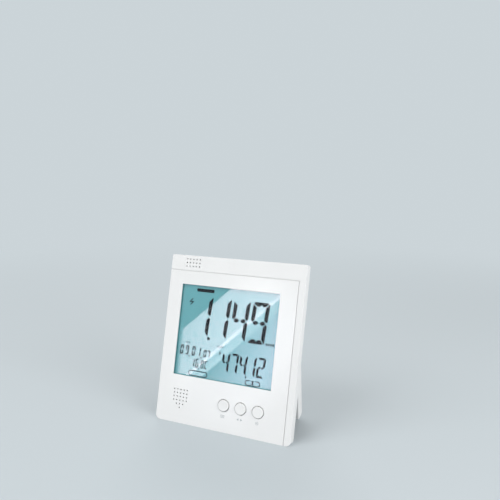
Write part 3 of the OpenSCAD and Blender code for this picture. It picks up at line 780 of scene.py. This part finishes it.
# Depth below the cap's highest ring, and radius, in millimetres.
dish = [(0.14, 0.6), (0.12, 1.4), (0.08, 2.3), (0.03, 3.1), (0, 3.7)]
rim = [(0.02, 3.9), (0.09, 4.08), (0.2, 4.2), (0.34, 4.25)]
for name, node, body, place in zip(("left", "middle", "right"), button_nodes,
                                   ("left_key", "middle_key", "right_key"), button_places):
    low, high = upright(node)
    rings = [(low.y + depth * mm, radius * mm) for depth, radius in dish + rim]
    rings += [(flange_front, cap_r), (flange_front, flange_r), (flange_back, flange_r)]
    rings += [(flange_back, stem_r), (high.y, stem_r)]
    cap = turned(name + "_button_cap", rings, sides=64, place=place)
    lay_back(cap)
    dress(cap, button_white)
    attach(cap, body)
    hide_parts(node)
    finish(name + "_plunger", black_resin)
    finish(name + "_switch", moulded(name + "_switch_nylon", (0.03, 0.03, 0.032), (0.05, 0.05, 0.05),
                                     roughness=0.5, grain=0.2 * mm, depth=0.01 * mm))

# Rear shell: the inner half of the case, moulded in the same satin ABS. A rim drops inside the front shell, a
# shallow step closes the back, and a hump at the top holds the battery bay. Four deep-set screws hold it, and
# two ears below the hump carry the stand's pins.
rear_wall = 1.8 * mm
bay_wall = 1.2 * mm
cell_play = 0.3 * mm
door_play = 0.3 * mm
ledge_t = 1.6 * mm
ear_t = 3.2 * mm
ear_r = 3.1 * mm
pin_r = 1.6 * mm
pin_play = 0.06 * mm
back_edge = 1.0 * mm
rim_edge = 0.3 * mm
stand_wall = 1.8 * mm
ear_gap = 0.4 * mm
pad_gap = 0.35 * mm
head_h = 1.3 * mm
head_gap = 0.1 * mm
head_play = 0.12 * mm
screw_hole_r = 1.32 * mm
lead_in = 0.25 * mm
lead_in_flare = 0.4 * mm
near = 0.1 * mm
along_width = (0, math.pi / 2, 0)
rear_low, rear_high = upright("rear_shell")
rim_back = upright("rear_shell", lambda p: p.x > rear_high.x - near)[1].y
hump_low, hump_high = upright("rear_shell", lambda p: p.y > rear_high.y - near)
step_back = upright("rear_shell", lambda p: p.z < hump_low.z / 2)[1].y
step_low, step_high = upright("rear_shell", lambda p: abs(p.y - step_back) < near / 2)
plates_low, plates_high = upright("battery_plates")
cells_low = upright("lower_cell")[0]
cells_high = upright("upper_cell")[1]
door_low, door_high = upright("battery_door", lambda p: p.y < rear_high.y - near)
hinge = lean_back.inverted() @ Vector(joints["stand_fold"]["pos_m"])
bay_low = Vector((plates_low.x, cells_low.y - cell_play, cells_low.z - cell_play))
bay_high = Vector((plates_high.x, rear_high.y + past, cells_high.z + cell_play))
pocket_low = door_low - Vector((door_play, door_play, door_play))
pocket_high = Vector((door_high.x + door_play, rear_high.y + past, door_high.z + door_play))
ear_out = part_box("stand")[1].x - stand_wall - ear_gap


def lid_block(name, low, high):
    """A block with rounded upright corners and a soft rim round its back face."""
    piece = block(name, low, high)
    round_edges(piece, low_corner, steps=8, chosen=runs_deep)
    round_edges(piece, back_edge, steps=4, chosen=lambda a, b: min(a.y, b.y) > high[1] - hair)
    return piece


rear = block("rear_shell_moulding", rear_low, (rear_high.x, rim_back, rear_high.z))
soften(rear, rim_edge, steps=2)
fuse(rear, lid_block("step", (step_low.x, rear_low.y, step_low.z), (step_high.x, step_back, step_high.z)))
fuse(rear, lid_block("hump", (-hump_high.x, step_back - rear_wall, hump_low.z),
                     (hump_high.x, rear_high.y, step_high.z)))
cut(rear, block("step_hollow", (step_low.x + rear_wall, rear_low.y - past, step_low.z + rear_wall),
                (step_high.x - rear_wall, step_back - rear_wall, step_high.z - rear_wall)))
cut(rear, block("hump_hollow", (rear_wall - hump_high.x, rear_low.y - past, hump_low.z + rear_wall),
                (hump_high.x - rear_wall, rear_high.y - rear_wall, step_high.z - rear_wall)))
wall = Vector((bay_wall, bay_wall, bay_wall))
fuse(rear, block("bay", bay_low - wall, (bay_high.x + bay_wall, door_low.y, bay_high.z + bay_wall)))
fuse(rear, block("ledge", (pocket_low.x - bay_wall, pocket_low.y - ledge_t, hump_low.z + rear_wall / 2),
                 (pocket_high.x + bay_wall, rear_high.y - rear_wall / 2, step_high.z - rear_wall / 2)))
for side in (-1, 1):
    middle_x = side * (ear_out - ear_t / 2)
    ear_rings = [(-ear_t / 2, ear_r), (ear_t / 2, ear_r)]
    ear = turned("ear", ear_rings, sides=48, place=(middle_x, hinge.y, hinge.z), turn=along_width)
    fuse(ear, block("ear_root", (middle_x - ear_t / 2, step_back - rear_wall / 2, hinge.z - ear_r),
                    (middle_x + ear_t / 2, hinge.y, hinge.z + ear_r)))
    fuse(rear, ear)
cut(rear, block("bay_hollow", bay_low, bay_high), block("door_pocket", pocket_low, pocket_high))
screw_boxes = upright_each("case_screws", reach=3 * case_head_r)
pads = []
screw_holes = []
for low, high in screw_boxes:
    middle = on_face(low, high)
    pad_r = case_head_r + boss_wall
    pads.append(turned("pad", [(board_high.y + pad_gap, pad_r), (step_back - rear_wall / 2, pad_r)],
                       sides=40, place=middle))
    seat = high.y - head_h - head_gap
    hole = [(board_high.y, screw_hole_r), (seat, screw_hole_r),
            (seat, case_head_r + head_play), (step_back - lead_in, case_head_r + head_play),
            (step_back, case_head_r + lead_in_flare), (step_back + past, case_head_r + lead_in_flare)]
    screw_holes.append(turned("screw_hole", hole, sides=40, place=middle))
fuse(rear, *pads)
cut(rear, joined(screw_holes))
for side in (-1, 1):
    pin_rings = [(-ear_t, pin_r + pin_play), (ear_t, pin_r + pin_play)]
    pin_place = (side * (ear_out - ear_t / 2), hinge.y, hinge.z)
    cut(rear, turned("pin_bore", pin_rings, sides=40, place=pin_place, turn=along_width))
lay_back(rear)
dress(rear, satin_white)
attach(rear, "case")
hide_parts("rear_shell")

# Batteries: three AAA cells in a row, each a steel can in a printed film jacket with crimped ends and a
# nickel nub. Sheet contacts join them in series, and a coiled spring presses each one.
nub_r = 1.9 * mm
nub_l = 0.8 * mm
band_from = 9 * mm
line_at = 8.2 * mm
line_half = 0.35 * mm
film_half = 21.3 * mm
film_shift = 0.4 * mm
# Inset from an end and change of radius, in millimetres.
flat_end = [(0, -0.9), (0.25, -0.75), (0.25, -0.45), (0.1, -0.3), (0.15, -0.12), (0.4, 0)]
nub_end = [(0.4, 0), (0.15, -0.12), (0.1, -0.3), (0.3, -0.5)]
nub_root = [(0.3, 0.2), (0.1, 0)]
nub_rim = [(0.25, 0), (0.06, -0.12), (0, -0.4)]
face_start = 0.3
finish("battery_plates", metal("nickel_plate", (0.74, 0.73, 0.69), (0.55, 0.54, 0.5),
                               roughness=0.25, grain=0.2 * mm))


def jacket(name, middle, nub_side):
    """Printed film: a dark body, a bright band near the nub end, and bare metal at both ends."""
    material, tone, place = new_material(name)
    across = tone.node("SeparateXYZ", {}, {"Vector": place}, "X")
    along = nub_side * (across - middle)
    print_grain = tone.node("TexNoise", {}, {"Vector": place, "Scale": 1500, "Detail": 2})
    band = tone.sum("GREATER_THAN", along, band_from)
    line = tone.sum("LESS_THAN", tone.sum("ABSOLUTE", along - line_at), line_half)
    bare = tone.sum("GREATER_THAN", tone.sum("ABSOLUTE", along + film_shift), film_half)
    colour = tone.mix(band, (0.02, 0.06, 0.14, 1), (0.55, 0.56, 0.58, 1))
    colour = tone.mix(line, colour, (0.7, 0.71, 0.72, 1))
    colour = tone.mix(bare, colour, (0.72, 0.71, 0.68, 1))
    show(tone, {
        "Base Color": colour,
        "Metallic": 0.35 + 0.65 * bare,
        "Roughness": 0.26 + 0.1 * print_grain,
        "Coat Weight": 0.3,
    })
    return material


for name, nub_side in (("lower", -1), ("middle", 1), ("upper", -1)):
    low, high = upright(name + "_cell")
    middle = (low + high) / 2
    half = (high.x - low.x) / 2
    r = (high.z - low.z) / 2
    end = half - nub_l
    rings = [(-half, face_start * r)]
    rings += [(-half + inset * mm, r + change * mm) for inset, change in flat_end]
    rings += [(end - inset * mm, r + change * mm) for inset, change in nub_end]
    rings += [(end - inset * mm, nub_r + change * mm) for inset, change in nub_root]
    rings += [(half - inset * mm, nub_r + change * mm) for inset, change in nub_rim]
    rings.append((half, face_start * nub_r))
    cell = turned(name + "_cell_can", rings, sides=56, place=middle, turn=(0, nub_side * math.pi / 2, 0))
    lay_back(cell)
    dress(cell, jacket(name + "_jacket", middle.x, nub_side))
    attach(cell, "case")
    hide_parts(name + "_cell")

spring_base = 3.7 * mm
spring_tip = 2.3 * mm
spring_wire = 0.22 * mm
spring_turns = 3.5
spring_steps = 84
spring_reach = 9 * mm
closed_share = 0.15
spring_steel = metal("spring_nickel", (0.76, 0.75, 0.71), (0.58, 0.57, 0.53), roughness=0.22, grain=0.1 * mm)
coils = []
for low, high in upright_each("battery_springs", reach=spring_reach):
    middle = (low + high) / 2
    to_cell = -1 if middle.x > 0 else 1
    wire = bpy.data.curves.new("spring_wire", "CURVE")
    wire.dimensions = "3D"
    wire.bevel_depth = spring_wire
    wire.bevel_resolution = 2
    wire.use_fill_caps = True
    spline = wire.splines.new("POLY")
    spline.points.add(spring_steps)
    for step, point in enumerate(spline.points):
        share = step / spring_steps
        angle = math.tau * spring_turns * share
        radius = spring_base + (spring_tip - spring_base) * share
        climb = min(1, max(0, (1 + 2 * closed_share) * share - closed_share))
        depth = spring_wire + (high.x - low.x - 2 * spring_wire) * climb
        start = low.x if to_cell > 0 else high.x
        point.co = (start + to_cell * depth, middle.y + radius * math.cos(angle),
                    middle.z + radius * math.sin(angle), 1)
    coils.append(meshed("spring_coil", wire))
springs = joined(coils)
springs.name = "battery_spring_coils"
lay_back(springs)
dress(springs, spring_steel)
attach(springs, "case")
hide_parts("battery_springs")

# Battery door: a loose cover moulded in the same satin ABS, which drops into the hump and snaps in place. It
# has a springy latch tongue cut into its upper edge and a ridge to press it by.
latch_w = 12 * mm
latch_l = 9 * mm
latch_slot = 1 * mm
ridge_w = 6 * mm
ridge_h = 0.8 * mm
ridge_root = 0.4 * mm
ridge_edge = 0.2 * mm
door_edge = 0.35 * mm
door = block("battery_door_cover", door_low, (door_high.x, rear_high.y, door_high.z))
for side in (-1, 1):
    middle_x = side * latch_w / 2
    cut(door, block("latch_slot", (middle_x - latch_slot / 2, door_low.y - past, door_high.z - latch_l),
                    (middle_x + latch_slot / 2, rear_high.y + past, door_high.z + past)))
soften(door, door_edge)
ridge_z = door_high.z - latch_l / 2
ridge = block("ridge", (-ridge_w / 2, rear_high.y - ridge_root, ridge_z - ridge_h / 2),
              (ridge_w / 2, upright("battery_door")[1].y, ridge_z + ridge_h / 2))
soften(ridge, ridge_edge)
fuse(door, ridge)
lay_back(door)
dress(door, satin_white)
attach(door, "door")
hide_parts("battery_door")

# Stand: a moulded ABS tray that swings out of the lower back on two pins. Its round top turns below the hump,
# its side flanges stiffen it, and its foot is cut level where it meets the table.
flange_depth = 9 * mm
foot_r = 3.5 * mm
lip = 1.2 * mm
stand_edge = 0.35 * mm
pin_gap = 0.2 * mm
flat_angle = 0.001
spare_share = 0.1
stand_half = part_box("stand")[1].x
hinge_place = Vector(joints["stand_fold"]["pos_m"])
barrel_r = rear_high.y - hinge.y
open_angle = math.radians(joints["stand_fold"]["range_deg"][1]) - lean
stand_drop = (1 + spare_share) * hinge_place.z


def tray(name, half_w, outline, base, corner_r):
    """A shape swung out on the hinge, from its outline seen from the side, with a round heel on its base."""
    piece = flat_piece(name, [outline], 2 * half_w, half_w)
    edit_all()
    bpy.ops.mesh.dissolve_limited(angle_limit=flat_angle)
    bpy.ops.object.mode_set(mode="OBJECT")
    piece.rotation_euler = (0, 0, math.pi / 2)
    bpy.ops.object.transform_apply()
    piece.location = hinge_place
    piece.rotation_euler = (open_angle, 0, 0)
    bpy.ops.object.transform_apply()
    cut_level(piece, base, slope=0)
    heel = max(v.co.y for v in piece.data.vertices if v.co.z < base + hair)
    setback = corner_r / math.tan(math.pi / 4 - open_angle / 2)
    round_edges(piece, setback, steps=8,
                chosen=lambda a, b: min(a.y, b.y) > heel - hair and max(a.z, b.z) < base + hair)
    return piece


front = barrel_r - flange_depth
inner_r = barrel_r - stand_wall
far = 2 * barrel_r
outside = [(front, -stand_drop), (barrel_r, -stand_drop)]
outside += arc(0, 0, barrel_r, 0, 180 + math.degrees(math.acos(-front / barrel_r)), steps=40)
inside = [(-far, -stand_drop), (inner_r, -stand_drop)]
inside += arc(0, 0, inner_r, 0, math.degrees(math.acos(lip / inner_r)), steps=12)
inside += [(lip, far), (-far, far)]
stand = tray("stand_tray", stand_half, outside, 0, foot_r)
inner = stand_half - stand_wall
cut(stand, tray("hollow", inner, inside, stand_wall, foot_r - stand_wall))
soften(stand, stand_edge)
for side in (-1, 1):
    start = side * (inner + stand_wall / 2)
    pin = [(start, pin_r), (side * (ear_out - ear_t - pin_gap), pin_r)]
    fuse(stand, turned("pin", pin, sides=40, place=hinge_place, turn=along_width))
dress(stand, satin_white)
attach(stand, "stand")
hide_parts("stand")

# Case screws: four zinc plated steel screws with a rounded pan head and a stamped cross recess. They sit deep
# in the rear shell and cut their own thread in the front shell's bosses.
recess_l = 1.25 * mm
recess_w = 0.28 * mm
recess_depth = 0.7 * mm
tip_r = 0.5 * mm
tip_l = 0.9 * mm
# Depth below the head's top and change of radius, in millimetres.
crown = [(0.45, 0), (0.15, -0.25), (0, -0.8)]
screws = []
for low, high in screw_boxes:
    middle = on_face(low, high)
    seat = high.y - head_h
    rings = [(low.y, tip_r), (low.y + tip_l, case_shaft_r), (seat, case_shaft_r), (seat, case_head_r)]
    rings += [(high.y - inset * mm, case_head_r + change * mm) for inset, change in crown]
    screw = turned("screw", rings, sides=40, place=middle)
    for long_x, long_z in ((recess_l, recess_w), (recess_w, recess_l)):
        cut(screw, block("recess", (middle.x - long_x, high.y - recess_depth, middle.z - long_z),
                         (middle.x + long_x, high.y + past, middle.z + long_z)))
    screws.append(screw)
screws = joined(screws)
screws.name = "case_screw_set"
lay_back(screws)
dress(screws, zinc)
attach(screws, "case")
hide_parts("case_screws")

# Camera: the photograph's viewpoint, above and to the right of the case, close enough for its perspective.
# The focal length and the image's middle are in pixels of the square photograph.
viewpoint = (157.2 * mm, -352.3 * mm, 200.5 * mm)
photo_size = 500
sensor = 36
focal = 532.1
image_middle = (240, 270)
azimuth = math.radians(23.33)
elevation = math.radians(12.13)
bpy.ops.object.camera_add(location=viewpoint, rotation=(math.pi / 2 - elevation, 0, azimuth))
camera = bpy.context.object
camera.data.sensor_width = sensor
camera.data.lens = sensor * focal / photo_size
camera.data.shift_x = (photo_size / 2 - image_middle[0]) / photo_size
camera.data.shift_y = (image_middle[1] - photo_size / 2) / photo_size
camera.data.clip_start = 10 * mm
bpy.context.scene.camera = camera
bpy.context.scene.view_settings.view_transform = "Standard"

# Floor and room: a wide pale table top that fades into the pale room, so that no edge shows behind the case.
# Away from the case the camera sees the room's colour on both, and the room's own light is nearly white.
room = (0.6, 0.66, 0.69, 1)
table = (0.548, 0.603, 0.633, 1)
room_light = (1, 0.995, 0.985, 1)
room_strength = 0.62
table_r = 4
fade_from = 0.25
fade_to = 0.9
bpy.ops.mesh.primitive_circle_add(vertices=64, radius=table_r, fill_type="NGON", location=(0, 0, 0))
floor = bpy.context.object
floor.name = "table_top"
floor_material, tone, place = new_material("table_top")
reach = tone.node("VectorMath", {"operation": "LENGTH"}, {0: place}, "Value")
fade = tone.node("MapRange", {"interpolation_type": "SMOOTHSTEP"},
                 {"Value": reach, "From Min": fade_from, "From Max": fade_to})


def seen_directly(tone):
    """1 for what the camera sees, also in metal and through glass, and 0 for light that falls on things."""
    kinds = ("Is Camera Ray", "Is Glossy Ray", "Is Transmission Ray")
    camera_ray, glossy_ray, glass_ray = [tone.node("LightPath", output=kind) for kind in kinds]
    return camera_ray + glossy_ray + glass_ray


sight = seen_directly(tone)
top = tone.node("BsdfDiffuse", {}, {"Color": table})
haze = tone.node("Emission", {}, {"Color": room, "Strength": 1.0})
tone.node("OutputMaterial", {}, {"Surface": tone.node("MixShader", {}, {0: fade * sight, 1: top, 2: haze})})
floor.data.materials.append(floor_material)

world = bpy.data.worlds.new("room")
bpy.context.scene.world = world
world.use_nodes = True
world.node_tree.nodes.clear()
tone = Tone(world.node_tree)
sight = seen_directly(tone)
seen = tone.node("Background", {}, {"Color": room, "Strength": 1.0})
lighting = tone.node("Background", {}, {"Color": room_light, "Strength": room_strength})
tone.node("OutputWorld", {}, {"Surface": tone.node("MixShader", {}, {0: sight, 1: lighting, 2: seen})})

# Lamps: a broad softbox above and to the left, smaller ones to the right and behind, and four strips side by
# side in front of the display, which its film mirrors as slanting bands. Some strips change in brightness
# over their width or length, and all fade out where the film mirrors them near the display's left edge.
strip_distance = 1300 * mm
strip_length = 470 * mm
strip_spread = math.radians(120)
strip_slope = math.radians(-51.7)
white = (1, 1, 1)
pale_blue = (0.96, 1, 1.12)
pale_cyan = (0.86, 1, 1.02)
no_limit = 9
# The film mirrors a point of the strips at an offset from the display's left edge, in millimetres, less a
# share of the point's place across and along them. The strips fade in between two such distances.
edge_offset = 42.3
mirror_across = 0.197
mirror_along = 0.195
strip_fade = (2.0, 6.5)
lamp_aim = Vector((0, 0, 60 * mm))
# Each softbox: its place and size in metres, and its brightness.
softboxes = [
    ("key", (-0.5, -0.6, 0.9), 0.7, 2.8),
    ("fill", (0.9, -0.3, 0.4), 0.6, 4.0),
    ("back", (-0.4, 0.8, 0.8), 0.6, 2.2),
]
# Each strip: start and end across in millimetres, first and last brightness, rise along it, limit, colour.
strips = [
    ("wide_strip", 102, -14.2, 2.63, 3.18, -0.95, no_limit, white),
    ("bright_strip", -14.2, -23.4, 5.4, 5.4, 0, no_limit, white),
    ("dim_strip", -23.4, -51, 2.3, 3.0, 0, no_limit, pale_cyan),
    ("low_strip", -51, -236, 1.1, 3.6, -2.2, 2.65, pale_blue),
]


def softbox(name, place, axes, width, length, spread=math.pi):
    """A rectangular lamp of brightness 1, seen along its axis, whose beam may be limited."""
    data = bpy.data.lights.new(name, "AREA")
    data.shape = "RECTANGLE"
    data.size = width
    data.size_y = length
    data.spread = spread
    gain = 1 if spread == math.pi else math.tan(spread / 2) / (math.tan(spread / 2) - spread / 2)
    data.energy = math.pi * width * length / gain
    data.use_nodes = True
    data.node_tree.nodes.clear()
    lamp = bpy.data.objects.new(name, data)
    bpy.context.scene.collection.objects.link(lamp)
    lamp.matrix_world = Matrix.Translation(place) @ axes.to_4x4()
    lamp.visible_camera = False
    return Tone(data.node_tree)


def light_up(tone, colour, brightness):
    """Gives a lamp its colour and brightness, which may change over it."""
    shine = tone.node("VectorMath", {"operation": "SCALE"}, {0: colour, "Scale": brightness})
    glow = tone.node("Emission", {}, {"Color": shine, "Strength": 1.0})
    tone.node("OutputLight", {}, {"Surface": glow})


for name, place, size, brightness in softboxes:
    to_case = lamp_aim - Vector(place)
    lamp_tone = softbox(name, place, to_case.to_track_quat("-Z", "Y").to_matrix(), size, size)
    light_up(lamp_tone, white, brightness)
view_middle = lean_back @ ((view_low + view_high) / 2)
glance = (view_middle - camera.location).normalized().reflect(press)
aside = glance.cross(Vector((0, 0, 1))).normalized()
above = aside.cross(glance)
along = aside * math.cos(strip_slope) + above * math.sin(strip_slope)
across = along.cross(glance)
strip_axes = Matrix((across, along, glance)).transposed()
for name, start, end, first, last, rise, most, colour in strips:
    place = view_middle + glance * strip_distance + across * (start + end) / 2 * mm
    lamp_tone = softbox(name, place, strip_axes, (start - end) * mm, strip_length, strip_spread)
    spot = lamp_tone.node("NewGeometry", output="Parametric")
    wide = lamp_tone.node("SeparateXYZ", {}, {"Vector": spot}, "X")
    long = lamp_tone.node("SeparateXYZ", {}, {"Vector": spot}, "Y")
    brightness = last + (first - last) * wide + rise * (long - 0.5)
    from_edge = edge_offset - mirror_across * (end + (start - end) * wide)
    from_edge = from_edge - mirror_along * strip_length / mm * (long - 0.5)
    fade = lamp_tone.node("MapRange", {"interpolation_type": "SMOOTHSTEP"},
                          {"Value": from_edge, "From Min": strip_fade[0], "From Max": strip_fade[1]})
    light_up(lamp_tone, colour, fade * lamp_tone.sum("MINIMUM", brightness, most))
